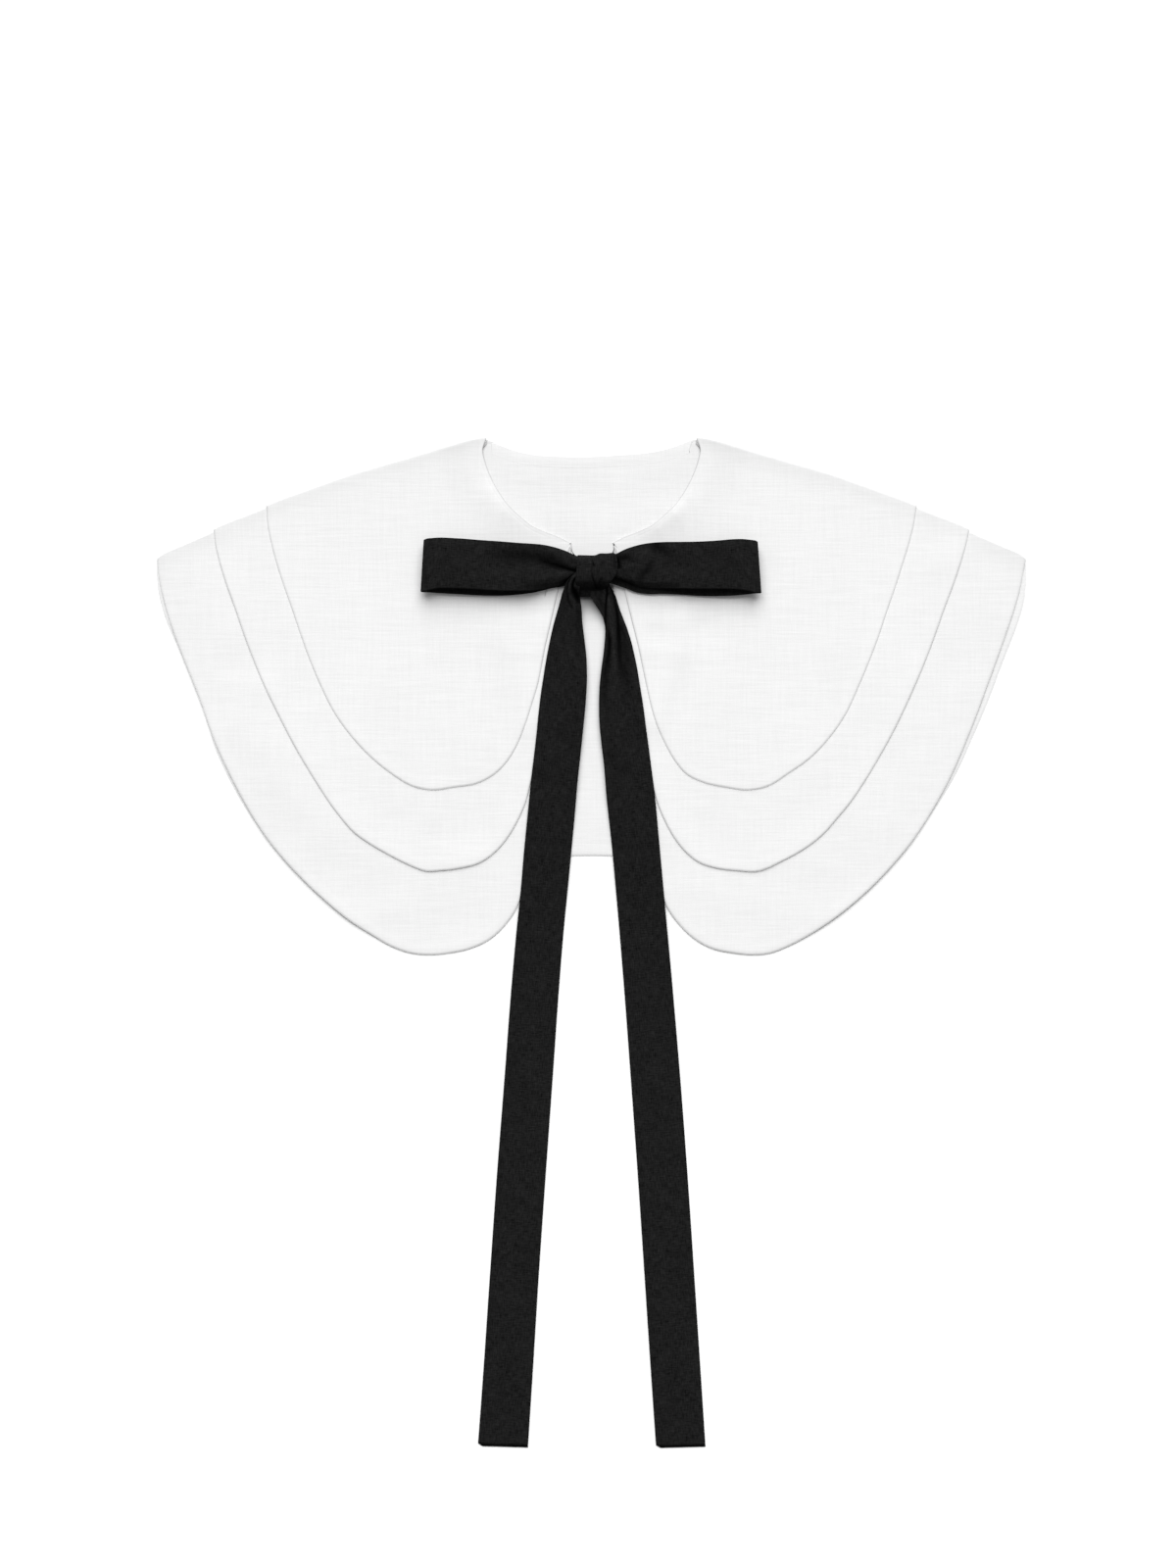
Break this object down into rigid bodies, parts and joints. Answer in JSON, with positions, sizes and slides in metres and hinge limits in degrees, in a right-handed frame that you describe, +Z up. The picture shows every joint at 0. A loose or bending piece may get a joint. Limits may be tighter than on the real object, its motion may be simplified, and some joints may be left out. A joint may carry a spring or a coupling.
{
  "type": "detachable collar",
  "caption": "Wide tiered detachable collar of white linen, open at the front and closed at the back, laid flat with a black self-fabric tie knotted in a bow.",
  "frame": {"origin": "middle of the whole collar's plan, on the surface that it lies on", "axes": "+Y from the ends of the tie up to the neck, +X to the right seen from above, +Z up"},
  "size_m": [0.7068, 0.8219, 0.0231],
  "materials": {
    "white_linen": "matt plain-woven linen",
    "black_cloth": "matt finely woven cloth"
  },
  "bodies": {
    "root": {"tier_upper": "white_linen", "tier_middle": "white_linen", "tier_lower": "white_linen", "neck_binding": "white_linen", "tie_root_left": "black_cloth", "tie_root_right": "black_cloth", "bow_knot": "black_cloth", "bow_loop_left": "black_cloth", "bow_loop_right": "black_cloth", "tie_tail_left": "black_cloth", "tie_tail_right": "black_cloth"}
  },
  "joints": []
}
